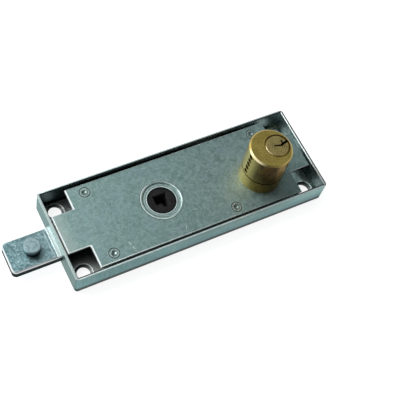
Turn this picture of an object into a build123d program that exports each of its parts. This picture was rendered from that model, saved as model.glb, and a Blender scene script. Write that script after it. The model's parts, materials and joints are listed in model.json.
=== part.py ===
from build123d import *
import math
import os

os.makedirs("parts", exist_ok=True)

# Frame: origin at the centre of the case back, +X away from the bolt, +Y to the
# back edge, +Z out of the cover. All sizes are millimetres.

# Case, a drawn steel tray
case_length = 155.0
case_width = 55.0
case_height = 16.0
sheet = 1.5
corner_radius = 1.9
floor_bend = 1.8
rim_chamfer = 0.25

# Cover plate, sunk below the rim of the tray
cover_thickness = 1.5
cover_recess = 1.6
cover_gap_end = 1.0
cover_gap_side = 1.3
notch_length = 12.8
notch_front = 13.6
notch_back = 12.4
notch_radius = 1.2
cover_chamfer = 0.35

# Fixing holes, in bosses pressed up in the four corners of the floor
fixing_inset_x = 8.2
fixing_inset_y = 7.9
fixing_radius = 3.7
boss_foot_radius = 6.0
boss_rim_radius = 5.1
boss_rim_width = 0.45
boss_rise = 1.8
boss_sink = 0.6
boss_lip = 0.65

# Staked posts that hold the cover and carry the bolt
post_inset_x = 25.0
post_inset_y = 7.9
post_to_cylinder = 22.3
post_radius = 3.5
post_collar_radius = 5.5
post_spigot_radius = 2.5
post_chamfer = 0.3
stake_ring_radius = 3.0
stake_ring_width = 0.35
stake_ring_depth = 0.15
stake_dimple_radius = 1.3
stake_dimple_depth = 0.4

# Bolt: the tongue outside the case and the slide inside it
bolt_reach = 27.0
bolt_headroom = 1.8
bolt_thickness = 6.1
tongue_half = 9.3
tongue_relief = 0.4
land_reach = 2.0
tongue_corner = 2.5
tongue_chamfer = 0.6
slot_clearance = 0.25
travel = 8.0
slide_inset = 17.5
slide_past_hub = 14.0
guide_clearance = 0.2
ear_length = 9.0
ear_clearance = 0.2
ear_overhang = 0.9
rail_past_post = 4.0
rail_width = 5.4
tail_thickness = 2.7
tail_width = 6.5
tail_gap = 0.9

# Stud on the tongue, for the linkage of the door
stud_clearance = 0.5
stud_radius = 4.5
stud_height = 5.5
stud_shank_radius = 3.0
stud_chamfer = 0.5

# Hub with a square hole for the handle spindle
hub_inset = 62.5
hub_square = 8.1
hub_top_radius = 8.1
hub_sink = 0.2
hub_shoulder = 1.0
hub_flange = 1.6
hub_foot_step = 1.5
hub_foot_lift = 0.3
hub_fit = 0.1
hub_gap = 0.3
hub_edge = 0.4
dish_depth = 0.9
dish_seat_width = 2.1
dish_ramp = 1.0
dish_rim_land = 0.8
dish_skew = 0.3
horn_reach = 2.3
horn_nose = 2.0
horn_neck = 2.6
horn_play = 0.25

# Return spring, its rod and the tab that it pushes on
spring_inset = 3.1
spring_radius = 2.5
spring_wire = 0.4
spring_pitch_wanted = 5.4
wire_sides = 6
rod_radius = 1.4
rod_hold = 6.0
rod_overrun = 4.0
rod_chamfer = 0.45
tab_to_cylinder = 10.3
tab_width = 5.6
tab_hole_play = 0.35
tab_headroom = 1.9
tab_bend = 0.6
tab_corner = 1.0

# Lock cylinder
cylinder_inset = 33.2
cylinder_y = -6.0
cylinder_radius = 12.2
cylinder_height = 28.8
cylinder_chamfer = 0.9
cylinder_groove_rise = 9.6
cylinder_groove_width = 0.9
cylinder_groove_depth = 0.35
spigot_step = 1.0
spigot_fit = 0.05
spigot_flat_depth = 1.1
spigot_reach = 2.7
clip_thickness = 1.4
clip_play = 0.05
clip_groove_depth = 1.6
clip_overhang = 1.6

# Plug, eccentric in the cylinder
plug_offset = 3.8
plug_wall = 1.5
plug_fit = 0.05
plug_chamfer = 0.55
bore_floor_rise = 2.6
journal_step = 2.8
keyway_floor = 3.0
keyway_back = 1.7
drive_square = 3.2

# Pin stacks, in line along the cylinder
pin_count = 5
pin_pitch = 3.4
pin_first_depth = 2.9
pin_radius = 1.4
pin_fit = 0.05
chamber_radius = 1.5
shear_gap = 0.06
driver_length = 4.2
pin_tip = 0.6
pin_tip_width = 0.85
driver_chamfer = 0.35
key_cuts = (2.2, 2.8, 1.8, 2.5, 2.0)
cap_length = 1.2
cap_recess = 0.6
pin_spring_radius = 1.0
pin_spring_wire = 0.18
pin_spring_turns = 2.5

# Cam on the tail of the plug
cam_thickness = 2.0
cam_gap = 0.2
cam_hub_radius = 4.2
cam_nose_radius = 2.8
cam_pin_radius = 1.6
cam_pin_play = 0.3
cam_turn = 90.0
fork_wall = 2.25
fork_reach = 1.3
fork_end_play = 0.35
screw_radius = 1.2
screw_head_radius = 2.4
screw_head_height = 1.5
screw_length = 5.0
screw_slot = 0.6

# Places and levels that follow from the sizes above
half_length = case_length / 2
half_width = case_width / 2
inner_length = half_length - sheet
inner_width = half_width - sheet
fixing_x = half_length - fixing_inset_x
fixing_y = half_width - fixing_inset_y
post_x = half_length - post_inset_x
post_y = half_width - post_inset_y
hub_x = -half_length + hub_inset
cylinder_x = half_length - cylinder_inset
post_front_x = cylinder_x - post_to_cylinder
tab_x = cylinder_x - tab_to_cylinder
stud_x = -half_length - stud_clearance - travel - stud_radius

cover_top = case_height - cover_recess
cover_bottom = cover_top - cover_thickness
cover_half_x = inner_length - cover_gap_end
cover_half_y = inner_width - cover_gap_side
dish_top = cover_top - dish_depth
dish_bottom = cover_bottom - dish_depth
hub_top = dish_top - hub_sink
bolt_top = cover_bottom - bolt_headroom
bolt_bottom = bolt_top - bolt_thickness
bolt_middle = bolt_bottom + bolt_thickness / 2
collar_top = bolt_bottom - guide_clearance
tab_top = cover_bottom - tab_headroom

slide_half = post_y - post_radius - guide_clearance
slide_start = -half_length + slide_inset
slide_end = hub_x + slide_past_hub
spring_y = slide_half - spring_inset
tail_back = spring_y - spring_radius - spring_wire - tail_gap

hub_body_radius = hub_top_radius + hub_shoulder
hub_flange_radius = hub_body_radius + hub_flange
hub_foot_radius = hub_top_radius - hub_foot_step
seat_radius = hub_top_radius + hub_fit
dish_radius = seat_radius + dish_seat_width + dish_ramp
horn_radius = hub_body_radius + horn_reach
horn_angle = math.degrees(math.asin(travel / 2 / horn_radius))

cylinder_top = cover_top + cylinder_height
cylinder_groove_z = cover_top + cylinder_groove_rise
bore_floor = cover_top + bore_floor_rise
spigot_radius = cylinder_radius - spigot_step
spigot_flat = spigot_radius - spigot_flat_depth
spigot_bottom = cover_bottom - spigot_reach
clip_groove_radius = spigot_radius - clip_groove_depth
clip_radius = cylinder_radius + clip_overhang
plug_x = cylinder_x + plug_offset
plug_y = cylinder_y
plug_radius = cylinder_radius - plug_offset - plug_wall
journal_radius = plug_radius - journal_step
cam_top = spigot_bottom - cam_gap
cam_bottom = cam_top - cam_thickness
cam_orbit = travel / 2 / math.sin(math.radians(cam_turn / 2))

post_places = {
    "post_front_left": (-post_x, -post_y),
    "post_back_left": (-post_x, post_y),
    "post_back_right": (post_x, post_y),
    "post_front_right": (post_front_x, -post_y),
}
fixing_places = [(x, y) for x in (-fixing_x, fixing_x) for y in (-fixing_y, fixing_y)]
pin_levels = [cylinder_top - pin_first_depth - i * pin_pitch for i in range(pin_count)]
keyway_outline = (
    (-keyway_back, 0.3),
    (1.2, -0.75),
    (2.1, -1.15),
    (2.9, -0.95),
    (4.3, -0.45),
    (plug_radius, 0.2),
    (plug_radius, 1.75),
    (5.2, 1.1),
    (4.1, 0.75),
    (3.9, 2.7),
    (3.2, 2.8),
    (3.1, 0.6),
    (1.9, 0.1),
    (-keyway_back, 1.0),
)


def finish(part, label):
    """Name a piece and write it to its own file."""
    part.label = label
    export_step(part, f"parts/{label}.step")


# Tray: drawn sheet with round bends, holed floor, bolt slot and spring tab
with BuildPart() as tray:
    with BuildSketch():
        RectangleRounded(case_length, case_width, corner_radius)
    extrude(amount=case_height)
    fillet(tray.faces().sort_by(Axis.Z)[0].edges(), floor_bend)
    with BuildSketch(Plane.XY.offset(sheet)):
        RectangleRounded(2 * inner_length, 2 * inner_width, corner_radius - sheet)
    extrude(amount=case_height, mode=Mode.SUBTRACT)
    floor_face = tray.faces().filter_by(Plane.XY).sort_by(Axis.Z)[1]
    fillet(floor_face.outer_wire().edges(), floor_bend - sheet)
    chamfer(tray.faces().sort_by(Axis.Z)[-1].edges(), rim_chamfer)
    # Slot for the bolt in the left wall
    with BuildSketch(Plane.YZ.offset(-half_length)):
        slot_low = bolt_bottom - slot_clearance
        slot_high = bolt_top + slot_clearance
        with Locations((0, (slot_low + slot_high) / 2)):
            Rectangle(2 * (tongue_half + slot_clearance), slot_high - slot_low)
    extrude(amount=sheet, mode=Mode.SUBTRACT)
    # Holes for the post feet, the hub and the fixing bosses
    with BuildSketch():
        with Locations(*post_places.values()):
            Circle(post_spigot_radius)
        with Locations((hub_x, 0)):
            Circle(hub_foot_radius + hub_fit)
        with Locations(*fixing_places):
            Circle(boss_foot_radius)
    extrude(amount=sheet, mode=Mode.SUBTRACT)
    # Bosses pressed up in the sheet, each with a countersunk hole
    boss_top = sheet + boss_rise
    for x, y in fixing_places:
        with BuildSketch(Plane.XZ.offset(-y)):
            with BuildLine():
                Polyline(
                    (x + boss_foot_radius - sheet, 0),
                    (x + boss_foot_radius, 0),
                    (x + boss_foot_radius, sheet),
                    (x + boss_rim_radius + boss_rim_width, boss_top),
                    (x + boss_rim_radius, boss_top),
                    (x + fixing_radius, boss_top - boss_sink),
                    (x + fixing_radius, boss_rise),
                    (x + fixing_radius + boss_lip, boss_rise),
                    close=True,
                )
            make_face()
        revolve(axis=Axis((x, y, 0), (0, 0, 1)))
    # Tab cut from the floor and bent up behind the spring
    tab_root = tab_x + sheet + tab_bend
    tab_blank = tab_top - sheet - tab_bend + (tab_bend + sheet / 2) * math.pi / 2
    with BuildSketch():
        with Locations((tab_root, spring_y)):
            Rectangle(tab_blank, tab_width, align=(Align.MAX, Align.CENTER))
    extrude(amount=sheet, mode=Mode.SUBTRACT)
    with BuildSketch(Plane.XZ.offset(-spring_y)) as tab_section:
        with BuildLine():
            Polyline(
                (tab_x, 0),
                (tab_root + tab_bend, 0),
                (tab_root + tab_bend, sheet),
                (tab_x + sheet, sheet),
                (tab_x + sheet, tab_top),
                (tab_x, tab_top),
                close=True,
            )
        make_face()
        fillet(tab_section.vertices().sort_by_distance((tab_x, 0))[0], tab_bend + sheet)
        fillet(tab_section.vertices().sort_by_distance((tab_x + sheet, sheet))[0], tab_bend)
    extrude(amount=tab_width / 2, both=True)
    tab_corners = tray.edges().filter_by(Axis.X).filter_by_position(Axis.Z, tab_top, tab_top)
    fillet(tab_corners, tab_corner)
    with BuildSketch(Plane.YZ.offset(tab_x)):
        with Locations((spring_y, bolt_middle)):
            Circle(rod_radius + tab_hole_play)
    extrude(amount=sheet, mode=Mode.SUBTRACT)
finish(tray.part, "tray")

# Cover plate: notched corners, chamfered edge, pressed seat round the hub
with BuildPart() as cover_plate:
    with BuildSketch(Plane.XY.offset(cover_bottom)) as outline:
        Rectangle(2 * cover_half_x, 2 * cover_half_y)
        for side in (-cover_half_x, cover_half_x):
            with Locations((side, -cover_half_y)):
                Rectangle(2 * notch_length, 2 * notch_front, mode=Mode.SUBTRACT)
            with Locations((side, cover_half_y)):
                Rectangle(2 * notch_length, 2 * notch_back, mode=Mode.SUBTRACT)
        inner_corners = outline.vertices().filter_by(
            lambda v: abs(v.X) < cover_half_x - notch_length / 2
            and abs(v.Y) < cover_half_y - notch_back / 2
        )
        fillet(inner_corners, notch_radius)
    extrude(amount=cover_thickness)
    chamfer(cover_plate.faces().sort_by(Axis.Z)[-1].edges(), cover_chamfer)
    # Holes for the dish, the posts and the cylinder spigot
    dish_rim = dish_radius + dish_rim_land
    with BuildSketch(Plane.XY.offset(cover_bottom)):
        with Locations((hub_x, 0)):
            Circle(dish_rim)
        with Locations(*post_places.values()):
            Circle(post_spigot_radius)
    extrude(amount=cover_thickness, mode=Mode.SUBTRACT)
    with BuildSketch(Plane.XY.offset(cover_bottom)):
        with Locations((cylinder_x, cylinder_y)):
            Circle(spigot_radius + spigot_fit)
            Rectangle(2 * cylinder_radius, 2 * (spigot_flat + spigot_fit), mode=Mode.INTERSECT)
    extrude(amount=cover_thickness, mode=Mode.SUBTRACT)
    # Seat pressed down round the hub
    with BuildSketch(Plane.XZ) as dish_section:
        with BuildLine():
            Polyline(
                (hub_x + seat_radius, dish_top),
                (hub_x + seat_radius + dish_seat_width, dish_top),
                (hub_x + dish_radius, cover_top),
                (hub_x + dish_rim, cover_top),
                (hub_x + dish_rim, cover_bottom),
                (hub_x + dish_radius + dish_skew, cover_bottom),
                (hub_x + seat_radius + dish_seat_width + dish_skew, dish_bottom),
                (hub_x + seat_radius, dish_bottom),
                close=True,
            )
        make_face()
    revolve(axis=Axis((hub_x, 0, 0), (0, 0, 1)))
    # Rings that the staking tool leaves round each post
    with BuildSketch(Plane.XY.offset(cover_top)):
        with Locations(*post_places.values()):
            Circle(stake_ring_radius + stake_ring_width / 2)
            Circle(stake_ring_radius - stake_ring_width / 2, mode=Mode.SUBTRACT)
    extrude(amount=-stake_ring_depth, mode=Mode.SUBTRACT)
finish(cover_plate.part, "cover_plate")

# Posts: turned studs, riveted in the floor and staked over in the cover
for label, place in post_places.items():
    with BuildPart() as post:
        with BuildSketch(Plane.XZ.offset(-place[1])):
            with BuildLine():
                Polyline(
                    (place[0], 0),
                    (place[0] + post_spigot_radius, 0),
                    (place[0] + post_spigot_radius, sheet),
                    (place[0] + post_collar_radius, sheet),
                    (place[0] + post_collar_radius, collar_top - post_chamfer),
                    (place[0] + post_collar_radius - post_chamfer, collar_top),
                    (place[0] + post_radius, collar_top),
                    (place[0] + post_radius, cover_bottom),
                    (place[0] + post_spigot_radius, cover_bottom),
                    (place[0] + post_spigot_radius, cover_top),
                    (place[0] + stake_dimple_radius, cover_top),
                    (place[0], cover_top - stake_dimple_depth),
                    close=True,
                )
            make_face()
        revolve(axis=Axis((*place, 0), (0, 0, 1)))
    finish(post.part, label)

# Bolt: one thick plate with the tongue, the slide, the hub window and the tail
tongue_end = -half_length - bolt_reach
land_end = -half_length - land_reach
ear_start = -post_x + post_radius + ear_clearance
ear_half = post_y + ear_overhang
window_x = hub_x - travel / 2
window_radius = hub_body_radius + hub_gap
notch_half = horn_nose + horn_play
notch_top = horn_radius + horn_nose + horn_play
fork_x = plug_x - travel / 2
fork_half = cam_pin_radius + cam_pin_play
fork_front = plug_y + cam_orbit * math.cos(math.radians(cam_turn / 2)) - fork_reach
fork_closed = plug_y + cam_orbit + cam_pin_radius + fork_end_play
rail_length = post_front_x + rail_past_post - slide_end
with BuildPart() as bolt:
    with BuildSketch(Plane.XY.offset(bolt_bottom)) as slide:
        with Locations((slide_start, 0)):
            Rectangle(slide_start - tongue_end, 2 * tongue_half, align=(Align.MAX, Align.CENTER))
            Rectangle(slide_end - slide_start, 2 * slide_half, align=(Align.MIN, Align.CENTER))
        with Locations((ear_start, 0)):
            Rectangle(ear_length, 2 * ear_half, align=(Align.MIN, Align.CENTER))
        with Locations((slide_end, -slide_half)):
            Rectangle(rail_length, rail_width, align=(Align.MIN, Align.MIN))
        tongue_tips = slide.vertices().group_by(Axis.X)[0]
        fillet(tongue_tips, tongue_corner)
        with Locations((window_x, 0)):
            SlotCenterToCenter(travel, 2 * window_radius, mode=Mode.SUBTRACT)
            Rectangle(2 * notch_half, notch_top, align=(Align.CENTER, Align.MIN), mode=Mode.SUBTRACT)
    extrude(amount=bolt_thickness)
    # Thinner tongue outside the land, with a worn edge
    with BuildSketch(Plane.XY.offset(bolt_top)):
        with Locations((land_end, 0)):
            Rectangle(bolt_reach, 4 * tongue_half, align=(Align.MAX, Align.CENTER))
    extrude(amount=-tongue_relief, mode=Mode.SUBTRACT)
    tongue_face = bolt.faces().filter_by(Plane.XY).sort_by(Axis.X)[0:2].sort_by(Axis.Z)[-1]
    tongue_edges = tongue_face.edges().filter_by(lambda e: e.center().X < land_end - tongue_chamfer)
    chamfer(tongue_edges, tongue_chamfer)
    # Tail and fork, milled to less than half the thickness
    with BuildSketch(Plane.XY.offset(bolt_bottom)):
        with Locations((slide_end, tail_back)):
            Rectangle(fork_x - slide_end, tail_width, align=(Align.MIN, Align.MAX))
        with Locations((fork_x, fork_front)):
            fork_align = (Align.CENTER, Align.MIN)
            Rectangle(2 * (fork_half + fork_wall), tail_back - fork_front, align=fork_align)
            Rectangle(2 * fork_half, fork_closed - fork_front, align=fork_align, mode=Mode.SUBTRACT)
    extrude(amount=tail_thickness)
    # Blind hole for the spring rod, and the hole for the stud
    with BuildSketch(Plane.YZ.offset(slide_end)):
        with Locations((spring_y, bolt_middle)):
            Circle(rod_radius)
    extrude(amount=-rod_hold, mode=Mode.SUBTRACT)
    with BuildSketch(Plane.XY.offset(bolt_bottom)):
        with Locations((stud_x, 0)):
            Circle(stud_shank_radius)
    extrude(amount=bolt_thickness, mode=Mode.SUBTRACT)
finish(bolt.part, "bolt")

# Stud: riveted through the tongue
tongue_top = bolt_top - tongue_relief
with BuildPart() as bolt_stud:
    with BuildSketch(Plane.XY.offset(bolt_bottom)):
        with Locations((stud_x, 0)):
            Circle(stud_shank_radius)
    extrude(amount=tongue_top - bolt_bottom)
    with BuildSketch(Plane.XY.offset(tongue_top)):
        with Locations((stud_x, 0)):
            Circle(stud_radius)
    extrude(amount=stud_height)
    chamfer(bolt_stud.faces().sort_by(Axis.Z)[-1].edges(), stud_chamfer)
finish(bolt_stud.part, "bolt_stud")

# Hub: moulded in one with its flange, journals and horn
with BuildPart() as hub:
    flange_bottom = sheet + hub_gap
    with BuildSketch(Plane.XZ):
        with BuildLine():
            Polyline(
                (hub_x, hub_foot_lift),
                (hub_x + hub_foot_radius, hub_foot_lift),
                (hub_x + hub_foot_radius, flange_bottom),
                (hub_x + hub_flange_radius, flange_bottom),
                (hub_x + hub_flange_radius, collar_top),
                (hub_x + hub_body_radius, collar_top),
                (hub_x + hub_body_radius, dish_bottom - hub_gap),
                (hub_x + hub_top_radius, dish_bottom - hub_gap),
                (hub_x + hub_top_radius, hub_top - hub_edge),
                (hub_x + hub_top_radius - hub_edge, hub_top),
                (hub_x, hub_top),
                close=True,
            )
        make_face()
    revolve(axis=Axis((hub_x, 0, 0), (0, 0, 1)))
    # Horn: a neck with a round nose, leaning towards the bolt's end at rest
    nose_x = hub_x - horn_radius * math.sin(math.radians(horn_angle))
    nose_y = horn_radius * math.cos(math.radians(horn_angle))
    with BuildSketch(Plane.XY.offset(bolt_bottom + hub_gap)):
        with Locations((nose_x, nose_y)):
            Circle(horn_nose)
        with BuildLine():
            across = Vector(nose_y, hub_x - nose_x) * (horn_neck / 2 / horn_radius)
            centre = Vector(hub_x, 0)
            tip = Vector(nose_x, nose_y)
            Polyline(centre - across, centre + across, tip + across, tip - across, close=True)
        make_face()
    extrude(amount=bolt_thickness - 2 * hub_gap)
    with BuildSketch():
        with Locations((hub_x, 0)):
            Rectangle(hub_square, hub_square)
    extrude(amount=case_height, mode=Mode.SUBTRACT)
finish(hub.part, "hub")

# Spring rod: held in the slide, running through the tab
rod_start = slide_end - rod_hold
with BuildPart() as spring_rod:
    with BuildSketch(Plane.YZ.offset(rod_start)):
        with Locations((spring_y, bolt_middle)):
            Circle(rod_radius)
    extrude(amount=tab_x + sheet + rod_overrun - rod_start)
    chamfer(spring_rod.faces().sort_by(Axis.X)[-1].edges(), rod_chamfer)
finish(spring_rod.part, "spring_rod")

# Return spring: round wire between the slide and the tab
spring_length = tab_x - slide_end - 2 * spring_wire
spring_pitch = spring_length / round(spring_length / spring_pitch_wanted)
spring_start = (slide_end + spring_wire, spring_y, bolt_middle)
with BuildPart() as return_spring:
    with BuildLine() as spring_path:
        Helix(spring_pitch, spring_length, spring_radius, center=spring_start, direction=(1, 0, 0))
    with BuildSketch(Plane(origin=spring_path.line @ 0, z_dir=spring_path.line % 0)):
        RegularPolygon(spring_wire, wire_sides)
    sweep(is_frenet=True)
finish(return_spring.part, "return_spring")

# Cylinder body: solid brass with an eccentric bore, pin chambers and a spigot
cylinder_axis = Axis((cylinder_x, cylinder_y, 0), (0, 0, 1))
bore_radius = plug_radius + plug_fit
groove_floor = cylinder_radius - cylinder_groove_depth
with BuildPart() as cylinder_body:
    with BuildSketch(Plane.XZ.offset(-cylinder_y)):
        with BuildLine():
            Polyline(
                (cylinder_x, spigot_bottom),
                (cylinder_x + spigot_radius, spigot_bottom),
                (cylinder_x + spigot_radius, cover_top),
                (cylinder_x + cylinder_radius, cover_top),
                (cylinder_x + cylinder_radius, cylinder_groove_z - cylinder_groove_width / 2),
                (cylinder_x + groove_floor, cylinder_groove_z - cylinder_groove_width / 2),
                (cylinder_x + groove_floor, cylinder_groove_z + cylinder_groove_width / 2),
                (cylinder_x + cylinder_radius, cylinder_groove_z + cylinder_groove_width / 2),
                (cylinder_x + cylinder_radius, cylinder_top - cylinder_chamfer),
                (cylinder_x + cylinder_radius - cylinder_chamfer, cylinder_top),
                (cylinder_x, cylinder_top),
                close=True,
            )
        make_face()
    revolve(axis=cylinder_axis)
    # Two flats on the spigot keep the cylinder from turning in the cover
    with BuildSketch(Plane.XY.offset(spigot_bottom)):
        with Locations((cylinder_x, cylinder_y)):
            Circle(cylinder_radius)
            Rectangle(2 * cylinder_radius, 2 * spigot_flat, mode=Mode.SUBTRACT)
    extrude(amount=cover_top - spigot_bottom, mode=Mode.SUBTRACT)
    # Groove for the clip
    with BuildSketch(Plane.XY.offset(cover_bottom - clip_thickness - 2 * clip_play)):
        with Locations((cylinder_x, cylinder_y)):
            Circle(cylinder_radius)
            Circle(clip_groove_radius, mode=Mode.SUBTRACT)
    extrude(amount=clip_thickness + 2 * clip_play, mode=Mode.SUBTRACT)
    # Stepped bore for the plug
    with BuildSketch(Plane.XY.offset(bore_floor)):
        with Locations((plug_x, plug_y)):
            Circle(bore_radius)
    extrude(amount=cylinder_top - bore_floor, mode=Mode.SUBTRACT)
    with BuildSketch(Plane.XY.offset(spigot_bottom)):
        with Locations((plug_x, plug_y)):
            Circle(journal_radius + plug_fit)
    extrude(amount=bore_floor - spigot_bottom, mode=Mode.SUBTRACT)
    # Pin chambers, drilled in from the thick side
    with BuildSketch(Plane.YZ.offset(cylinder_x - cylinder_radius)):
        with Locations(*[(cylinder_y, level) for level in pin_levels]):
            Circle(chamber_radius)
    extrude(amount=cylinder_radius + plug_offset - plug_radius + chamber_radius, mode=Mode.SUBTRACT)
finish(cylinder_body.part, "cylinder_body")

# Clip: a horseshoe washer pushed into the groove under the cover
with BuildPart() as cylinder_clip:
    with BuildSketch(Plane.XY.offset(cover_bottom - clip_thickness - clip_play)):
        with Locations((cylinder_x, cylinder_y)):
            Circle(clip_radius)
            Circle(clip_groove_radius + clip_play, mode=Mode.SUBTRACT)
            Rectangle(
                2 * (clip_groove_radius + clip_play),
                2 * clip_radius,
                align=(Align.CENTER, Align.MAX),
                mode=Mode.SUBTRACT,
            )
    extrude(amount=clip_thickness)
finish(cylinder_clip.part, "cylinder_clip")

# Plug: turned brass with the keyway, the pin bores and a square tail
with BuildPart() as plug:
    with BuildSketch(Plane.XZ.offset(-plug_y)):
        with BuildLine():
            Polyline(
                (plug_x, spigot_bottom),
                (plug_x + journal_radius, spigot_bottom),
                (plug_x + journal_radius, bore_floor),
                (plug_x + plug_radius, bore_floor),
                (plug_x + plug_radius, cylinder_top - plug_chamfer),
                (plug_x + plug_radius - plug_chamfer, cylinder_top),
                (plug_x, cylinder_top),
                close=True,
            )
        make_face()
    revolve(axis=Axis((plug_x, plug_y, 0), (0, 0, 1)))
    with BuildSketch(Plane.XY.offset(cam_bottom)):
        with Locations((plug_x, plug_y)):
            Rectangle(drive_square, drive_square)
    extrude(amount=spigot_bottom - cam_bottom)
    # Keyway: a thin slot with a side step that opens out at the wall of the plug
    with BuildSketch(Plane.XY.offset(cylinder_top)):
        with BuildLine():
            Polyline(*[(plug_x + x, plug_y + y) for x, y in keyway_outline], close=True)
        make_face()
    extrude(amount=bore_floor + keyway_floor - cylinder_top, mode=Mode.SUBTRACT)
    with BuildSketch(Plane.YZ.offset(plug_x - plug_radius)):
        with Locations(*[(plug_y, level) for level in pin_levels]):
            Circle(pin_radius + pin_fit)
    extrude(amount=plug_radius - keyway_back + pin_tip, mode=Mode.SUBTRACT)
    # Threaded hole for the cam screw, drawn at the screw's size
    with BuildSketch(Plane.XY.offset(cam_bottom)):
        with Locations((plug_x, plug_y)):
            Circle(screw_radius)
    extrude(amount=screw_length, mode=Mode.SUBTRACT)
finish(plug.part, "plug")

# Pin stacks: caps, springs, driver pins and key pins, at the shear line
cap_start = cylinder_x - cylinder_radius + cap_recess
driver_end = plug_x - plug_radius - shear_gap
driver_start = driver_end - driver_length
key_pin_start = plug_x - math.sqrt(plug_radius**2 - pin_radius**2) + shear_gap
for number, level in enumerate(pin_levels, start=1):
    with BuildPart() as chamber_cap:
        with BuildSketch(Plane.YZ.offset(cap_start)):
            with Locations((cylinder_y, level)):
                Circle(chamber_radius)
        extrude(amount=cap_length)
    finish(chamber_cap.part, f"chamber_cap_{number}")

    with BuildPart() as driver_pin:
        with BuildSketch(Plane.YZ.offset(driver_start)):
            with Locations((cylinder_y, level)):
                Circle(pin_radius)
        extrude(amount=driver_length)
        chamfer(driver_pin.edges().filter_by(GeomType.CIRCLE).sort_by(Axis.X)[0], driver_chamfer)
    finish(driver_pin.part, f"driver_pin_{number}")

    with BuildPart() as key_pin:
        with BuildSketch(Plane.YZ.offset(key_pin_start)):
            with Locations((plug_y, level)):
                Circle(pin_radius)
        extrude(amount=plug_x - key_cuts[number - 1] - key_pin_start)
        chamfer(
            key_pin.edges().filter_by(GeomType.CIRCLE).sort_by(Axis.X)[-1],
            pin_tip,
            pin_tip_width,
        )
    finish(key_pin.part, f"key_pin_{number}")

    coil_start = cap_start + cap_length + pin_spring_wire
    coil_length = driver_start - pin_spring_wire - coil_start
    with BuildPart() as pin_spring:
        with BuildLine() as coil_path:
            Helix(
                coil_length / pin_spring_turns,
                coil_length,
                pin_spring_radius,
                center=(coil_start, cylinder_y, level),
                direction=(1, 0, 0),
            )
        with BuildSketch(Plane(origin=coil_path.line @ 0, z_dir=coil_path.line % 0)):
            RegularPolygon(pin_spring_wire, wire_sides)
        sweep(is_frenet=True)
    finish(pin_spring.part, f"pin_spring_{number}")

# Cam: on the square of the plug, with the riveted pin that moves the bolt
cam_pin_angle = math.radians(90 + cam_turn / 2)
cam_pin_x = plug_x + cam_orbit * math.cos(cam_pin_angle)
cam_pin_y = plug_y + cam_orbit * math.sin(cam_pin_angle)
with BuildPart() as cam:
    with BuildSketch(Plane.XY.offset(cam_bottom)):
        with Locations((plug_x, plug_y)):
            Circle(cam_hub_radius)
        with Locations((cam_pin_x, cam_pin_y)):
            Circle(cam_nose_radius)
        make_hull()
        with Locations((plug_x, plug_y)):
            Rectangle(drive_square, drive_square, mode=Mode.SUBTRACT)
        with Locations((cam_pin_x, cam_pin_y)):
            Circle(cam_pin_radius, mode=Mode.SUBTRACT)
    extrude(amount=cam_thickness)
finish(cam.part, "cam")

with BuildPart() as cam_pin:
    with BuildSketch(Plane.XY.offset(bolt_bottom + guide_clearance)):
        with Locations((cam_pin_x, cam_pin_y)):
            Circle(cam_pin_radius)
    extrude(amount=cam_top - bolt_bottom - guide_clearance)
finish(cam_pin.part, "cam_pin")

# Screw: slotted cheese head under the cam
with BuildPart() as cam_screw:
    with BuildSketch(Plane.XY.offset(cam_bottom)):
        with Locations((plug_x, plug_y)):
            Circle(screw_head_radius)
    extrude(amount=-screw_head_height)
    with BuildSketch(Plane.XY.offset(cam_bottom)):
        with Locations((plug_x, plug_y)):
            Circle(screw_radius)
    extrude(amount=screw_length)
    with BuildSketch(Plane.XY.offset(cam_bottom - screw_head_height)):
        with Locations((plug_x, plug_y)):
            Rectangle(2 * screw_head_radius, screw_slot)
    extrude(amount=screw_head_height / 2, mode=Mode.SUBTRACT)
finish(cam_screw.part, "cam_screw")
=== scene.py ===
"""Garage door lock: materials, spring coil, camera, floor and light round the CAD pieces."""

import json
import math

import bpy
from mathutils import Matrix, Vector


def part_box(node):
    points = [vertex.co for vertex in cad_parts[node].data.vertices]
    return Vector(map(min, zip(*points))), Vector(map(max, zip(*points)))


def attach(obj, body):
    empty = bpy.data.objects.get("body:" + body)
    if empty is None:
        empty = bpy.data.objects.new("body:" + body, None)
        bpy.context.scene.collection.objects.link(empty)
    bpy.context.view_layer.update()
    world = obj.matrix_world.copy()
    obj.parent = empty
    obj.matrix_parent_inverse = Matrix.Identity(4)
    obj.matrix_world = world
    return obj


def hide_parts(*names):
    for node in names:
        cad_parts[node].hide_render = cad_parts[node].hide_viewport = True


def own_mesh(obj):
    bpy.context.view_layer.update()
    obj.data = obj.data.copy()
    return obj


MM = 0.001

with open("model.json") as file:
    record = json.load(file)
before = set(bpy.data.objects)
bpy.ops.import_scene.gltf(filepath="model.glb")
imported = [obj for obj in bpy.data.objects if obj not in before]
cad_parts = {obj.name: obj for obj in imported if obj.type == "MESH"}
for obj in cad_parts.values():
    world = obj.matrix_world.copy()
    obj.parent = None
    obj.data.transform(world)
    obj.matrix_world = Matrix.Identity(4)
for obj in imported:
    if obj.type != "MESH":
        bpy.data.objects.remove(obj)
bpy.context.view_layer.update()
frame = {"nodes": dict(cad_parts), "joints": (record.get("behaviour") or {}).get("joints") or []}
nodes = frame["nodes"]


def centre(node):
    """Middle of a node's box in plan, in millimetres."""
    low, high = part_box(node)
    return (low.x + high.x) / 2 / MM, (low.y + high.y) / 2 / MM


def joint_place(name):
    """Place of a hinge's axis in plan, in millimetres."""
    for joint in frame["joints"]:
        if joint["name"] == name:
            return joint["pos_m"][0] / MM, joint["pos_m"][1] / MM
    raise ValueError(name)


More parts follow.
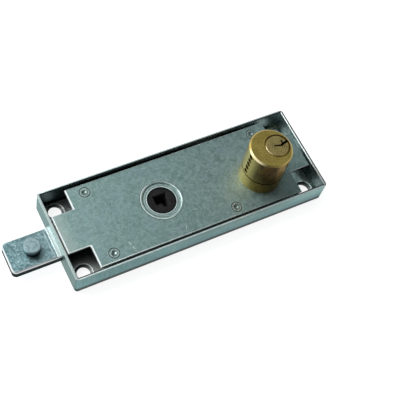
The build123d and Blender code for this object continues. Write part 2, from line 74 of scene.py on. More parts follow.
# Places and heights on the part, in millimetres
HUB = joint_place("hub_turn")
PLUG = joint_place("plug_turn")
CYLINDER = centre("cylinder_body")
STUD = centre("bolt_stud")
POSTS = [node for node in nodes if node.startswith("post_")]
CASE_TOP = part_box("tray")[1].z / MM
CYLINDER_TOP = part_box("cylinder_body")[1].z / MM
STUD_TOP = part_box("bolt_stud")[1].z / MM
BOLT_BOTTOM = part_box("bolt")[0].z / MM
CASE_X, CASE_Y = (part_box("tray")[1][axis] / MM for axis in (0, 1))
COVER_X, COVER_Y = (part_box("cover_plate")[1][axis] / MM for axis in (0, 1))
SHEET = 1.5
PLUG_RADIUS, CYLINDER_RADIUS = 7.1, 12.2
# Size of the notch in the cover's front left corner, and middle and half width of the tab beside it
NOTCH_X, NOTCH_Y = 12.8, 13.6
TAB_Y, TAB_HALF = 0.6, 11.2
FIXINGS = [(x, y) for x in (-69.3, 69.3) for y in (-19.6, 19.6)]
# Radius, width and strength of the rings of painted highlight on the seat round the hub
SEAT_HIGHLIGHT_RINGS = ((11.15, 0.6, 1.0), (9.7, 0.5, 0.5), (8.55, 0.55, 1.0))
# Start, end and width of the scratches on the cover
SCRATCHES = (
    ((-43.2, -15.8), (-41.7, -19.2), 0.7),
    ((-42.2, -18.6), (-40.8, -23.6), 0.7),
    ((-16.2, -11.6), (-14.4, -17.0), 0.5),
    ((-12.6, -13.4), (-12.0, -16.4), 0.4),
    ((-9.0, -17.4), (-10.4, -22.0), 0.5),
    ((-19.0, -19.4), (-16.0, -20.6), 0.45),
    ((-2.0, -12.0), (1.5, -12.6), 0.35),
    ((4.5, -14.0), (6.0, -10.5), 0.25),
    ((-20.0, 22.0), (-15.0, 21.4), 0.35),
    ((18.0, 11.0), (26.0, 9.5), 0.2),
    ((-46.0, 6.0), (-44.5, 10.0), 0.2),
)


class Graph:
    """The node tree of a material or a world, with short helpers."""

    def __init__(self, owner):
        owner.use_nodes = True
        self.tree = owner.node_tree
        self.tree.nodes.clear()

    def put(self, socket, value):
        """Link a socket to an input, or set the input's own value."""
        if isinstance(value, bpy.types.NodeSocket):
            self.tree.links.new(value, socket)
        elif socket.type == "RGBA":
            socket.default_value = (*value, 1)
        else:
            socket.default_value = value

    def node(self, kind, inputs=None, **settings):
        """A new node, with its settings and its inputs by name or number."""
        node = self.tree.nodes.new("ShaderNode" + kind)
        for name, value in settings.items():
            setattr(node, name, value)
        for key, value in (inputs or {}).items():
            self.put(node.inputs[key], value)
        return node

    def parts(self, vector):
        """The three parts of a vector."""
        return self.node("SeparateXYZ", {0: vector}).outputs

    def math(self, operation, a, b=0.0):
        """Result of a math operation on one value or two."""
        return self.node("Math", {0: a, 1: b}, operation=operation).outputs[0]

    def times(self, first, *others):
        """Product of all values."""
        for other in others:
            first = self.math("MULTIPLY", first, other)
        return first

    def most(self, first, *others):
        """Largest of all values."""
        for other in others:
            first = self.math("MAXIMUM", first, other)
        return first

    def inverse(self, value):
        """1 minus the value."""
        return self.math("SUBTRACT", 1.0, value)

    def size(self, value):
        """The value without its sign."""
        return self.math("ABSOLUTE", value)

    def dot(self, pair, way):
        """Dot product in plan of a pair of sockets and a direction."""
        return self.math("ADD", self.times(pair[0], way[0]), self.times(pair[1], way[1]))

    def step(self, value, low, high):
        """Smooth rise from 0 at low to 1 at high."""
        inputs = {"Value": value, "From Min": low, "From Max": high}
        return self.node("MapRange", inputs, interpolation_type="SMOOTHSTEP").outputs[0]

    def drop(self, value, low, high):
        """Smooth fall from 1 at low to 0 at high."""
        return self.inverse(self.step(value, low, high))

    def remap(self, value, low, high, to_low, to_high):
        """Straight map of the range low to high onto another, clamped at its ends."""
        inputs = {"Value": value, "From Min": low, "From Max": high, "To Min": to_low, "To Max": to_high}
        return self.node("MapRange", inputs).outputs[0]

    def mix(self, factor, a, b):
        """Colour between a at factor 0 and b at factor 1."""
        return self.node("Mix", {0: factor, 6: a, 7: b}, data_type="RGBA").outputs[2]


class Shader(Graph):
    """A material with one Principled shader, whose base colour is painted in layers.

    All lengths are in millimetres: coordinates, noise sizes, radii, widths and bump distances.
    """

    def __init__(self, name, metallic=1.0, roughness=0.4):
        self.material = bpy.data.materials.new(name)
        super().__init__(self.material)
        self.bsdf = self.node("BsdfPrincipled", {"Metallic": metallic, "Roughness": roughness})
        self.node("OutputMaterial", {"Surface": self.bsdf.outputs[0]})
        self.point = self.node("TexCoord").outputs["Object"]
        self.x, self.y, self.z = self.parts(self.scaled((1 / MM, 1 / MM, 1 / MM)))
        self.base = None

    def scaled(self, factors):
        """Object coordinates in metres, multiplied by a factor on each axis."""
        return self.node("VectorMath", {0: self.point, 1: factors}, operation="MULTIPLY").outputs[0]

    def normal(self):
        """The three parts of the surface's normal."""
        return self.parts(self.node("NewGeometry").outputs["Normal"])

    def noise(self, size, detail, rough, vector=None, distort=0.0):
        """Noise whose blotches are about size across."""
        inputs = {
            "Vector": vector or self.point,
            "Scale": 1 / (size * MM),
            "Detail": detail,
            "Roughness": rough,
            "Distortion": distort,
        }
        return self.node("TexNoise", inputs).outputs[0]

    def cells(self, size):
        """Crystal cells about size across, each with its own value."""
        voronoi = self.node("TexVoronoi", {"Vector": self.point, "Scale": 1 / (size * MM)})
        return self.node("SeparateColor", {0: voronoi.outputs["Color"]}).outputs[0]

    def offset(self, place):
        """Distances in x and y from a place in plan."""
        return self.math("SUBTRACT", self.x, place[0]), self.math("SUBTRACT", self.y, place[1])

    def radius(self, place):
        """Distance from an upright axis."""
        dx, dy = self.offset(place)
        return self.math("SQRT", self.math("ADD", self.times(dx, dx), self.times(dy, dy)))

    def ring(self, distance, radius, width):
        """1 where the distance is the radius, fading to 0 at half the width from it."""
        return self.drop(self.size(self.math("SUBTRACT", distance, radius)), 0.0, width / 2)

    def band(self, value, low, high):
        """1 between two values, fading to 0 over a short way inside them."""
        soft = 0.12
        return self.math("SUBTRACT", self.step(value, low, low + soft), self.step(value, high - soft, high))

    def segment(self, start, end, width):
        """1 on a straight mark between two points in plan, faded at its ends and sides."""
        (ax, ay), (bx, by) = start, end
        length = math.hypot(bx - ax, by - ay)
        ux, uy = (bx - ax) / length, (by - ay) / length
        out = self.offset(((ax + bx) / 2, (ay + by) / 2))
        along, across = self.dot(out, (ux, uy)), self.dot(out, (-uy, ux))
        on_line = self.drop(self.size(across), 0.0, width / 2)
        return self.times(on_line, self.drop(self.size(along), length * 0.3, length * 0.5))

    def bevel(self, upward):
        """1 where the surface leans as a chamfer under a flat top does."""
        return self.times(self.step(upward, 0.3, 0.5), self.drop(upward, 0.82, 0.95))

    def paint(self, color, *masks):
        """Lay a colour over the base by the product of the masks."""
        self.base = self.mix(self.times(*masks), self.base, color)

    def close(self, rough, height, distance, strength):
        """Set the painted colour, the roughness and the bump on the shader; returns the material."""
        self.put(self.bsdf.inputs["Base Color"], self.base)
        self.put(self.bsdf.inputs["Roughness"], rough)
        bump = self.node("Bump", {"Strength": strength, "Distance": distance * MM, "Height": height})
        self.put(self.bsdf.inputs["Normal"], bump.outputs[0])
        return self.material


def cover_material():
    """Zinc plated cover plate, with a seat pressed down round the hub."""
    s = Shader("zinc_cover")
    cloud = s.noise(24, 3, 0.5)
    mottle = s.noise(1.7, 4, 0.62, distort=0.5)
    grain = s.noise(0.5, 2, 0.6)
    s.base = s.mix(s.step(s.x, -60, 60), (0.205, 0.335, 0.318), (0.21, 0.312, 0.3))
    s.paint((0.235, 0.355, 0.345), s.step(cloud, 0.35, 0.68), 0.6)
    s.paint((0.335, 0.47, 0.455), s.remap(mottle, 0.4, 0.62, 0, 0.9))
    s.paint((0.13, 0.2, 0.19), s.remap(grain, 0.35, 0.7, 0, 0.6))
    # Fine wiping marks along the plate
    wipe = s.noise(0.8, 3, 0.6, vector=s.scaled((0.06, 1, 1)))
    s.paint((0.42, 0.52, 0.5), s.remap(wipe, 0.55, 0.75, 0, 0.3))
    # Dull spots in the plating
    spots = s.noise(5, 4, 0.7, distort=0.6)
    s.paint((0.13, 0.19, 0.18), s.remap(spots, 0.54, 0.7, 0, 0.45))
    # Paler at its left end
    s.paint((0.52, 0.57, 0.53), s.remap(s.x, -75.5, -67, 0.5, 0))
    # Faint bluish patches
    tint = s.noise(6, 3, 0.6, distort=0.4)
    s.paint((0.27, 0.36, 0.4), s.remap(tint, 0.52, 0.7, 0, 0.5))
    # Seat round the hub: broken rings of painted highlight, with one more at the back
    off = s.radius(HUB)
    rings = [s.times(s.ring(off, radius, width), strength) for radius, width, strength in SEAT_HIGHLIGHT_RINGS]
    back_ring = s.times(s.ring(off, 12.75, 0.4), s.step(s.y, 0, 8), 0.4)
    whole = s.remap(s.noise(3.5, 3, 0.6), 0.35, 0.55, 0.55, 1)
    s.paint((0.93, 1.0, 0.98), s.most(*rings, back_ring), whole)
    # On the left and in front of it another ring of painted highlight, with a ring of painted shade outside
    # it
    lower = s.step(s.dot(s.offset(HUB), (-0.95, -0.3)), -2, 4)
    s.paint((0.9, 1.0, 0.96), s.ring(off, 11.8, 0.7), lower, 0.9)
    s.paint((0.05, 0.075, 0.07), s.ring(off, 12.4, 0.6), s.remap(lower, 0, 1, 0.45, 0.8))
    # A dark joint and a pale ring round each staked post
    for post in POSTS:
        from_post = s.radius(centre(post))
        s.paint((0.5, 0.6, 0.58), s.ring(from_post, 3.5, 0.5), 0.35)
        s.paint((0.02, 0.03, 0.03), s.ring(from_post, 2.95, 0.9), 0.9)
    # A few scratches
    marks = s.most(*[s.segment(*scratch) for scratch in SCRATCHES])
    s.paint((0.84, 0.92, 0.9), marks, s.step(s.noise(0.9, 2, 0.5), 0.38, 0.6), 0.85)
    # Painted highlight along the edges of the top face, the long front one most at its left end
    over = 0.2
    front_y, left_x = -COVER_Y, -COVER_X
    notch_x, notch_y = left_x + NOTCH_X, front_y + NOTCH_Y
    front_edge = s.times(
        s.band(s.y, front_y - over, front_y + 0.75),
        s.remap(s.x, -60, 45, 1, 0.12),
    )
    left_edge = s.band(s.x, left_x - over, left_x + 0.85)
    notch_across = s.times(
        s.band(s.x, notch_x - over, notch_x + 0.75),
        s.step(s.size(s.math("SUBTRACT", s.y, TAB_Y)), TAB_HALF, TAB_HALF + 0.4),
    )
    notch_along = s.times(
        s.band(s.y, notch_y - over, notch_y + 0.65),
        s.drop(s.x, -62.5, -62),
    )
    # Painted highlight on the chamfer and the left edges, and painted shade on the front edge, outside the
    # hub's seat
    nx, ny, nz = s.normal()
    plain = s.step(off, 12.5, 13)
    leftward = s.drop(nx, -0.9, -0.6)
    frontal = s.drop(ny, -0.9, -0.8)
    bright = s.most(s.bevel(nz), leftward, front_edge, left_edge, notch_across, notch_along)
    s.paint((0.94, 1.0, 0.98), plain, bright, 0.95)
    s.paint((0.004, 0.005, 0.005), plain, frontal, 0.97)
    return s.close(s.remap(mottle, 0.3, 0.7, 0.5, 0.64), s.math("ADD", grain, mottle), 0.03, 0.7)


def case_material():
    """Zinc plated tray, bluer on its walls, with painted shade inside."""
    s = Shader("zinc_case")
    cloud = s.step(s.noise(18, 3, 0.5), 0.33, 0.68)
    mottle = s.noise(1.5, 4, 0.6, distort=0.3)
    grain = s.noise(0.4, 2, 0.6)
    nx, ny, nz = s.normal()
    wall = s.drop(s.size(nz), 0.35, 0.9)
    flat_zinc = s.mix(cloud, (0.20, 0.27, 0.255), (0.28, 0.36, 0.335))
    wall_zinc = s.mix(cloud, (0.095, 0.27, 0.275), (0.14, 0.35, 0.355))
    s.base = s.mix(wall, flat_zinc, wall_zinc)
    s.paint((0.27, 0.5, 0.495), s.remap(mottle, 0.4, 0.64, 0, 0.55))
    s.paint((0.14, 0.215, 0.215), s.remap(grain, 0.3, 0.7, 0, 0.4))
    # Drawing marks run up the walls
    drawn = s.noise(0.9, 3, 0.6, vector=s.scaled((1, 1, 0.08)))
    s.paint((0.45, 0.57, 0.58), wall, s.remap(drawn, 0.5, 0.75, 0, 0.3))
    # Painted shade along the bend at the foot of the long walls
    s.paint((0.008, 0.015, 0.015), s.drop(s.z, 4.2, 5.5), s.step(s.size(ny), 0.4, 0.7), 0.92)
    # The left wall is darker, and the front wall is paler above and to the right
    s.paint((0.045, 0.11, 0.09), s.drop(nx, -0.9, -0.6), s.remap(s.y, -10, 14, 0.5, 0.3))
    s.paint((0.42, 0.66, 0.62), s.drop(ny, -0.9, -0.6), s.step(s.z, 7, 12), s.step(s.x, -40, 20), 0.45)
    # Left wall over the bolt's slot, with patches of painted highlight
    slot_y = 1.0
    slot = s.times(
        s.drop(s.size(s.math("SUBTRACT", s.y, slot_y)), 5, 9),
        s.drop(s.x, -CASE_X - 0.1, -CASE_X + 0.3),
        s.drop(s.z, 10.8, 12.4),
        s.step(s.noise(2.6, 3, 0.6), 0.3, 0.5),
    )
    s.paint((0.97, 0.9, 0.87), slot, 0.85)
    # Painted shade inside, mostly on the walls and less towards the right end
    edge = s.math(
        "MINIMUM",
        s.math("SUBTRACT", CASE_X, s.size(s.x)),
        s.math("SUBTRACT", CASE_Y, s.size(s.y)),
    )
    inside = s.times(s.step(edge, SHEET - 0.25, SHEET - 0.05), s.step(s.z, 1.2, 1.4))
    inside_shade = s.math("SUBTRACT", s.remap(wall, 0, 1, 0.1, 0.7), s.times(s.step(s.x, 30, 70), 0.5))
    s.paint((0.03, 0.026, 0.022), inside, s.most(inside_shade, 0.0))
    # Painted light on the floor, and on the mottled walls at the right end
    s.paint((0.62, 0.66, 0.64), inside, s.inverse(wall), 0.85)
    blotched = s.mix(s.step(mottle, 0.46, 0.6), (0.27, 0.39, 0.385), (0.55, 0.7, 0.68))
    s.paint(blotched, inside, wall, s.step(s.x, 45, 65), 0.7)
    # Rim: painted highlight with painted shade along its inner edge, duller at the left, at the right
    # painted highlight inside and dull outside
    rim = s.step(s.z, CASE_TOP - 0.32, CASE_TOP - 0.2)
    right = s.step(s.x, CASE_X - SHEET - 0.1, CASE_X - SHEET + 0.1)
    left = s.drop(s.x, -CASE_X + SHEET - 0.1, -CASE_X + SHEET + 0.1)
    long_sides = s.inverse(s.most(right, left))
    s.paint((0.86, 1.0, 0.98), rim, 0.93)
    s.paint((0.42, 0.52, 0.49), rim, left, 0.8)
    s.paint((0.006, 0.009, 0.009), rim, s.step(edge, SHEET - 0.75, SHEET - 0.6), long_sides, 0.97)
    s.paint((0.16, 0.18, 0.175), rim, right, 0.9)
    s.paint((0.72, 0.78, 0.76), rim, right, s.step(edge, 0.8, 0.95), 0.9)
    # Bosses of the fixing holes: painted shade in the countersink, painted highlight on the rim
    for place in FIXINGS:
        off = s.radius(place)
        s.paint((0.012, 0.016, 0.015), s.drop(off, 4.9, 5.2), 0.85)
        s.paint((0.88, 0.96, 0.93), s.ring(off, 5.4, 1.2), 0.95)
    return s.close(s.remap(mottle, 0.3, 0.7, 0.34, 0.48), s.math("ADD", grain, mottle), 0.015, 0.5)


def bolt_material():
    """Zinc plated bolt with a coarse blue-grey spangle."""
    s = Shader("zinc_bolt")
    spangle = s.cells(1.7)
    fine = s.noise(1.0, 4, 0.7, distort=1.2)
    cloud = s.noise(4.5, 4, 0.6, distort=0.8)
    s.base = s.mix(spangle, (0.08, 0.16, 0.175), (0.17, 0.3, 0.32))
    s.paint((0.37, 0.54, 0.56), s.step(fine, 0.48, 0.6))
    s.paint((0.065, 0.125, 0.14), s.step(cloud, 0.48, 0.64), 0.6)
    # Paler towards the case, and bare where it slides in the case
    s.paint((0.42, 0.57, 0.59), s.remap(s.x, -100, -80, 0, 0.25))
    s.paint((0.66, 0.66, 0.65), s.step(s.x, -79.6, -79.4), 0.7)
    # Painted highlights in two lines across the tongue at the wall
    for x, width in ((-79.6, 0.7), (-81.2, 0.5)):
        s.paint((0.74, 0.83, 0.84), s.ring(s.x, x, width), 0.75)
    # Painted highlight on the chamfer; on the sides painted highlight above and painted shade below
    upward = s.normal()[2]
    s.paint((0.97, 1.0, 1.0), s.bevel(upward), 0.95)
    upper_side = s.step(s.z, BOLT_BOTTOM + 3.9, BOLT_BOTTOM + 4.4)
    side_highlight_and_shade = s.mix(upper_side, (0.01, 0.018, 0.018), (0.97, 0.99, 0.99))
    s.paint(side_highlight_and_shade, s.drop(s.size(upward), 0.2, 0.4), 0.93)
    s.bsdf.inputs["Specular Tint"].default_value = (0.45, 0.45, 0.45, 1)
    return s.close(s.remap(fine, 0.3, 0.7, 0.3, 0.46), s.math("ADD", spangle, fine), 0.03, 0.6)


def stud_material():
    """Turned and plated steel stud with a pale ring and a painted highlight on its rim, and painted shade
    where it meets the tongue.
    """
    s = Shader("stud_steel")
    off = s.radius(STUD)
    tool_pitch = 0.45
    tool = s.math("SINE", s.times(off, 2 * math.pi / tool_pitch))
    grain = s.noise(0.6, 3, 0.6)
    cloud = s.noise(2.2, 3, 0.6, distort=0.6)
    s.base = s.mix(s.step(cloud, 0.36, 0.64), (0.25, 0.39, 0.415), (0.42, 0.58, 0.6))
    s.paint((0.1, 0.16, 0.18), s.remap(grain, 0.35, 0.7, 0, 0.4))
    # Pale ring on the top, and a painted highlight on its rim
    s.paint((0.5, 0.62, 0.64), s.ring(off, 3.3, 0.8), 0.5)
    s.paint((0.62, 0.73, 0.74), s.ring(off, 4.2, 0.8), 0.55)
    # Painted shade where it meets the tongue
    s.paint((0.01, 0.014, 0.014), s.drop(s.z, STUD_TOP - 2.9, STUD_TOP - 2), 0.93)
    height = s.math("ADD", s.times(tool, 0.3), grain)
    return s.close(s.remap(grain, 0.3, 0.7, 0.28, 0.42), height, 0.012, 0.5)


def post_material(post):
    """Staked post: broken painted highlight on its rim, a ring of painted shade and a dull punched middle.
    """
    s = Shader(post + "_steel")
    off = s.radius(centre(post))
    grain = s.noise(0.5, 3, 0.6)
    cloud = s.noise(1.3, 3, 0.6, distort=0.5)
    s.base = s.mix(s.step(cloud, 0.38, 0.62), (0.13, 0.19, 0.18), (0.33, 0.43, 0.41))
    broken = s.remap(s.noise(1.6, 2, 0.5), 0.4, 0.6, 0.1, 1)
    # Painted highlight on the broken rim
    s.paint((0.7, 0.8, 0.77), s.ring(off, 2.3, 0.45), broken)
    # Painted shade in a ring round the punched middle
    s.paint((0.03, 0.045, 0.043), s.ring(off, 1.35, 0.6), 0.85)
    s.paint((0.6, 0.7, 0.68), s.ring(off, 0, 1.1), 0.6)
    return s.close(s.remap(grain, 0.3, 0.7, 0.42, 0.55), s.math("ADD", grain, cloud), 0.08, 0.9)


def inner_steel(name, dark, light, roughness):
    """Plain steel for the pieces inside the case."""
    s = Shader(name)
    grain = s.noise(0.5, 3, 0.6)
    cloud = s.noise(3, 2, 0.5)
    s.base = s.mix(s.step(cloud, 0.3, 0.7), dark, light)
    s.paint(tuple(0.6 * part for part in dark), s.remap(grain, 0.35, 0.7, 0, 0.4))
    return s.close(s.remap(grain, 0.3, 0.7, roughness - 0.06, roughness + 0.08), grain, 0.008, 0.4)


def hub_material():
    """Black moulded nylon."""
    s = Shader("hub_nylon", metallic=0.0, roughness=0.5)
    off = s.radius(HUB)
    grain = s.noise(0.5, 3, 0.6)
    flow = s.noise(3.5, 2, 0.5)
    s.base = s.mix(s.step(flow, 0.35, 0.65), (0.007, 0.007, 0.0073), (0.0125, 0.0125, 0.013))
    # Painted shade round the outside, and a patchy worn ring
    s.paint((0.0008, 0.0009, 0.0009), s.step(off, 7.2, 7.7), 0.9)
    s.paint((0.03, 0.03, 0.031), s.ring(off, 5, 1.2), s.step(s.noise(1.6, 2, 0.5), 0.45, 0.65), 0.35)
    # Painted light on the walls of the square hole
    s.paint((0.045, 0.045, 0.046), s.drop(s.size(s.normal()[2]), 0.2, 0.4), s.drop(off, 5.8, 6))
    s.bsdf.inputs["Specular IOR Level"].default_value = 0.16
    return s.close(s.remap(grain, 0.3, 0.7, 0.42, 0.58), grain, 0.02, 0.5)


def brass_material(name, place, pitch, dark, mid, light, keyway=False):
    """Turned brass, with tool rings of a pitch round an upright axis on its end face."""
    s = Shader(name)
    waver = s.noise(4, 2, 0.5)
    turns = s.times(s.radius(place), 2 * math.pi / pitch)
    tool = s.math("SINE", s.math("ADD", turns, s.times(waver, 2.0)))
    cloud = s.noise(5, 3, 0.55, distort=0.3)
    grain = s.noise(0.5, 3, 0.6)
    nx, ny, nz = s.normal()
    top = s.step(nz, 0.85, 0.97)
    side = s.inverse(top)
    bevel = s.times(s.step(nz, 0.4, 0.55), side)
    s.base = s.mix(s.step(cloud, 0.32, 0.68), dark, mid)
    s.paint(light, s.remap(grain, 0.4, 0.75, 0, 0.45))
    s.paint(light, top, s.remap(tool, -1, 1, 0, 0.55 if keyway else 0.35))
    # Fine upright streaks on a redder side
    streak = s.noise(0.5, 3, 0.6, vector=s.scaled((1, 1, 0.05)))
    s.paint(dark, side, s.remap(streak, 0.45, 0.75, 0, 0.3))
    s.paint((0.65, 0.34, 0.07), s.math("SUBTRACT", side, s.times(bevel, 0.8)), 0.6)
    # Patchy painted shade on the front, fainter near the groove, and a painted highlight on the left side
    patchy = s.remap(s.noise(2.2, 4, 0.65, distort=0.5), 0.35, 0.6, 0.4, 0.75)
    frontal = s.step(s.dot((nx, ny), (-0.54, -0.84)), 0.7, 0.95)
    s.paint((0.05, 0.045, 0.035), side, frontal, patchy, s.remap(s.z, 20, 29, 0.35, 1))
    s.paint((0.95, 0.72, 0.4), side, s.drop(nx, -0.97, -0.8), 0.2)
    # Joint between plug and body: dirt in it, and a crescent of painted highlight beside it
    joint = s.radius(PLUG)
    s.paint((0.03, 0.02, 0.006), top, s.ring(joint, PLUG_RADIUS, 0.55), 0.85)
    lower = s.step(s.dot(s.offset(PLUG), (-1, -1)), 2, 7)
    s.paint((1.0, 0.93, 0.72), top, s.ring(joint, PLUG_RADIUS - 0.35, 0.5), lower, 0.85)
    # Painted highlight on the bevel, most on its left
    bevel_highlight = s.step(s.dot((nx, ny), (-0.96, -0.28)), 0.54, 0.66)
    s.paint((0.95, 0.84, 0.52), bevel, s.remap(bevel_highlight, 0, 1, 0.12, 0.8))
    # Painted shade in the groove and in the mouths of the pin chambers
    within = s.drop(s.radius(CYLINDER), CYLINDER_RADIUS - 0.25, CYLINDER_RADIUS - 0.05)
    s.paint((0.025, 0.017, 0.006), within, s.drop(s.z, CYLINDER_TOP - 1.2, CYLINDER_TOP - 1), 0.9)
    # Painted shade inside the plug's keyway, or in the body's bore below its top
    recess_shade = (0.012, 0.009, 0.005)
    if keyway:
        s.paint(recess_shade, side, s.drop(joint, PLUG_RADIUS - 1.1, PLUG_RADIUS - 0.9), 0.92)
    else:
        bore = s.drop(joint, PLUG_RADIUS + 0.15, PLUG_RADIUS + 0.25)
        s.paint(recess_shade, side, bore, s.drop(s.z, CYLINDER_TOP - 0.3, CYLINDER_TOP - 0.1), 0.95)
    height = s.math("ADD", s.times(tool, top, 0.5), grain)
    return s.close(s.remap(grain, 0.3, 0.7, 0.24, 0.36), height, 0.01, 0.5)


def dress(material, *names):
    """Give CAD nodes a material."""
    for name in names:
        for slot in nodes[name].material_slots:
            slot.link = "OBJECT"
            slot.material = material


def numbered(*names):
    """Names of the pieces that come five times, once for each pin chamber."""
    return [f"{name}_{i}" for name in names for i in range(1, 6)]


body_brass = (0.41, 0.3, 0.045), (0.6, 0.455, 0.095), (0.8, 0.66, 0.24)
plug_brass = (0.24, 0.17, 0.032), (0.54, 0.41, 0.11), (0.78, 0.66, 0.32)
# Chamber caps in very dark brass: painted shade in the mouths of the pin chambers
cap_brass_shaded = (0.02, 0.014, 0.004), (0.045, 0.032, 0.01), (0.16, 0.12, 0.04)
pin_brass = (0.3, 0.22, 0.07), (0.4, 0.3, 0.11), (0.55, 0.44, 0.2)
spring_steel = inner_steel("spring_steel", (0.26, 0.27, 0.28), (0.42, 0.43, 0.44), 0.3)
plated_steel = inner_steel("plated_steel", (0.28, 0.35, 0.36), (0.42, 0.5, 0.5), 0.36)

dress(cover_material(), "cover_plate")
dress(case_material(), "tray")
dress(bolt_material(), "bolt")
dress(stud_material(), "bolt_stud")
for post in POSTS:
    dress(post_material(post), post)
dress(hub_material(), "hub")
dress(brass_material("brass_body", CYLINDER, 0.55, *body_brass), "cylinder_body")
dress(brass_material("brass_plug", PLUG, 1.1, *plug_brass, keyway=True), "plug")
dress(brass_material("brass_cap", CYLINDER, 0.5, *cap_brass_shaded), *numbered("chamber_cap"))
dress(brass_material("brass_pin", PLUG, 0.5, *pin_brass), *numbered("driver_pin", "key_pin"))
dress(spring_steel, "return_spring", "cylinder_clip", *numbered("pin_spring"))
dress(plated_steel, "spring_rod", "cam", "cam_pin", "cam_screw")


def coil_spring(name, node, wire, pitch, closed_turns):
    """Coil of round wire along X that fills the node's box, with closed ends.

    wire is the wire's radius and pitch about that of the open turns, in metres.
    """
    low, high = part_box(node)
    radius = (high.y - low.y) / 2 - wire
    middle_y, middle_z = (low.y + high.y) / 2, (low.z + high.z) / 2
    start, length = low.x + wire, high.x - low.x - 2 * wire
    closed_pitch = 2.1 * wire
    closed = closed_turns * closed_pitch
    open_turns = round((length - 2 * closed) / pitch)
    turns = open_turns + 2 * closed_turns
    around, sides = 28, 12
    verts, faces = [], []
    for i in range(turns * around + 1):
        turn = i / around
        if turn < closed_turns:
            x = closed * turn / closed_turns
        elif turn > turns - closed_turns:
            x = length - closed * (turns - turn) / closed_turns
        else:
            x = closed + (length - 2 * closed) * (turn - closed_turns) / open_turns
        angle = 2 * math.pi * turn
        out_y, out_z = math.cos(angle), math.sin(angle)
        for k in range(sides):
            spin = 2 * math.pi * k / sides
            out = radius + wire * math.cos(spin)
            verts.append((start + x + wire * math.sin(spin), middle_y + out * out_y, middle_z + out * out_z))
        if i:
            first = (i - 1) * sides
            for k in range(sides):
                n = (k + 1) % sides
                faces.append((first + k, first + n, first + sides + n, first + sides + k))
    last = turns * around * sides
    faces.append(tuple(range(sides - 1, -1, -1)))
    faces.append(tuple(range(last, last + sides)))
    mesh = bpy.data.meshes.new(name)
    mesh.from_pydata(verts, [], faces)
    mesh.validate()
    mesh.polygons.foreach_set("use_smooth", [len(p.vertices) == 4 for p in mesh.polygons])
    piece = bpy.data.objects.new(name, mesh)
    bpy.context.scene.collection.objects.link(piece)
    return piece


# Return spring: a smooth coil in the place of the CAD's spring
coil = coil_spring("return_spring_coil", "return_spring", 0.4 * MM, 2.6 * MM, 2)
coil.data.materials.append(spring_steel)
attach(coil, "case")
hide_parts("return_spring")
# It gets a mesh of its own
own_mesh(coil)


# Camera, solved from the photograph: the ways right and down in the picture, and its place in metres
picture_right = Vector((0.87838, -0.44665, 0.17015)).normalized()
picture_down = Vector((-0.32502, -0.81920, -0.47253)).normalized()
camera_place = Vector((-0.17279, -0.19030, 0.45223))
field_of_view = math.radians(24.640)
ahead = picture_right.cross(picture_down).normalized()
picture_down = ahead.cross(picture_right).normalized()
turned = Matrix((picture_right, -picture_down, -ahead)).transposed()
camera_data = bpy.data.cameras.new("camera")
camera = bpy.data.objects.new("camera", camera_data)
bpy.context.scene.collection.objects.link(camera)
camera.matrix_world = Matrix.Translation(camera_place) @ turned.to_4x4()
camera_data.sensor_fit = "HORIZONTAL"
camera_data.angle = field_of_view
camera_data.clip_start = 0.01
bpy.context.scene.camera = camera


def floor_material():
    """Pale paper that takes the shadow, and glows white to the camera and in reflections."""
    s = Shader("floor_paper", metallic=0.0, roughness=0.9)
    path = s.node("LightPath")
    seen, mirrored = path.outputs["Is Camera Ray"], path.outputs["Is Glossy Ray"]
    s.put(s.bsdf.inputs["Base Color"], s.mix(mirrored, (0.5, 0.5, 0.5), (0.0, 0.0, 0.0)))
    s.bsdf.inputs["Specular IOR Level"].default_value = 0.0
    # No glow in the shade under the hub's hole
    lit = s.step(s.radius(HUB), 12, 16)
    camera_glow = s.times(seen, 0.86, s.remap(lit, 0, 1, 0.012, 1))
    # In reflections the floor is white on the left and falls off in front of the cylinder
    fall_off = s.times(s.step(s.x, -30, 15), s.drop(s.y, -42, -31), s.drop(s.x, 56, 70))
    mirror_glow = s.times(s.remap(s.x, -85, -65, 1, 0.8), s.remap(fall_off, 0, 1, 1, 0.12), lit)
    s.put(s.bsdf.inputs["Emission Color"], (1, 1, 1))
    s.put(s.bsdf.inputs["Emission Strength"], s.math("ADD", camera_glow, s.times(mirrored, mirror_glow)))
    return s.material


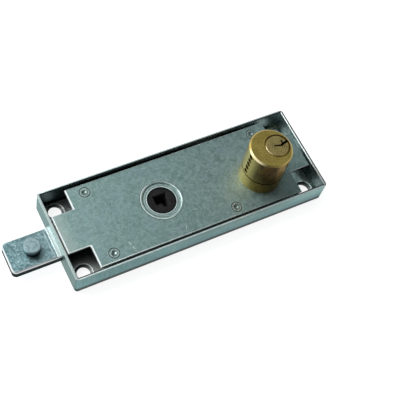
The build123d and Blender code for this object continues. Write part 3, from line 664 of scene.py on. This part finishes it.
# Floor just under the part, 6 m square
floor_mesh = bpy.data.meshes.new("floor")
reach = 3.0
corners = [(-reach, -reach, 0), (reach, -reach, 0), (reach, reach, 0), (-reach, reach, 0)]
floor_mesh.from_pydata(corners, [], [(0, 1, 2, 3)])
floor_mesh.materials.append(floor_material())
floor = bpy.data.objects.new("floor", floor_mesh)
floor.location.z = -0.1 * MM
bpy.context.scene.collection.objects.link(floor)


def light_room():
    """Soft room, bright on the left, dark on the right and in front, plain and pale to the camera."""
    world = bpy.data.worlds.new("studio")
    bpy.context.scene.world = world
    g = Graph(world)
    way = g.node("TexCoord").outputs["Generated"]
    bright_side, dark_side = (-0.943, 0.333, 0), (0.15, -0.8, 0.58)
    leftward = g.node("VectorMath", {0: way, 1: bright_side}, operation="DOT_PRODUCT").outputs["Value"]
    frontal = g.node("VectorMath", {0: way, 1: dark_side}, operation="DOT_PRODUCT").outputs["Value"]
    unlit = g.step(frontal, 0.45, 0.72)
    walls = g.times(g.remap(leftward, -0.62, 0.75, 0.12, 0.95), g.remap(unlit, 0, 1, 1, 0.02))
    # Pale strip along the horizon
    strip = g.times(g.drop(g.parts(way)[2], 0.32, 0.5), 0.6)
    room = g.node("Background", {"Color": (0.95, 0.98, 1.0), "Strength": g.most(walls, strip)})
    pale = g.node("Background", {"Color": (0.8, 0.8, 0.8), "Strength": 1.0})
    seen = g.node("LightPath").outputs["Is Camera Ray"]
    chosen = g.node("MixShader", {0: seen, 1: room.outputs[0], 2: pale.outputs[0]})
    g.node("OutputWorld", {"Surface": chosen.outputs[0]})


light_room()

# Square soft lamp behind on the left, aimed at the part
key_data = bpy.data.lights.new("key", "AREA")
key_data.shape = "SQUARE"
key_data.size = 0.55
key_data.energy = 9.0
key = bpy.data.objects.new("key", key_data)
bpy.context.scene.collection.objects.link(key)
key.location = (-0.45, 0.5, 0.75)
key.rotation_euler = (Vector((0, 0, 0.01)) - key.location).to_track_quat("-Z", "Y").to_euler()

bpy.context.scene.view_settings.view_transform = "Standard"
